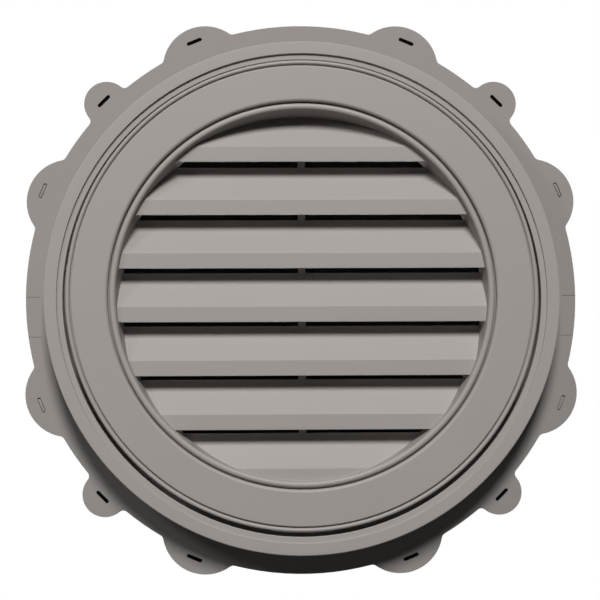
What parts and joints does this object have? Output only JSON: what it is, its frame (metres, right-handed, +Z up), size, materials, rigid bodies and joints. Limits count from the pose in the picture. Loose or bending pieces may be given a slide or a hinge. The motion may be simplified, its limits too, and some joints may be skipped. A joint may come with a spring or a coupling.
{
  "type": "round gable vent",
  "caption": "Round louvred gable vent with a scalloped nailing flange, a push-fit trim ring that slides to suit the siding, and an insect screen behind the slats.",
  "frame": {"origin": "centre of the flange's back face, on the wall plane", "axes": "+Z up, +Y into the wall, so the louvred front faces -Y and +X is to the right seen from the front"},
  "size_m": [0.607, 0.044, 0.6068],
  "materials": {
    "body_plastic": "satin",
    "ring_plastic": "satin",
    "screen_cloth": "matte"
  },
  "bodies": {
    "vent_body": {"vent_body": "body_plastic", "insect_screen": "screen_cloth"},
    "trim_ring": {"trim_ring": "ring_plastic"}
  },
  "joints": [
    {"name": "trim_ring_slide", "type": "slide", "parent": "vent_body", "child": "trim_ring", "axis": [0, -1, 0], "range_m": [-0.0127, 0]}
  ]
}
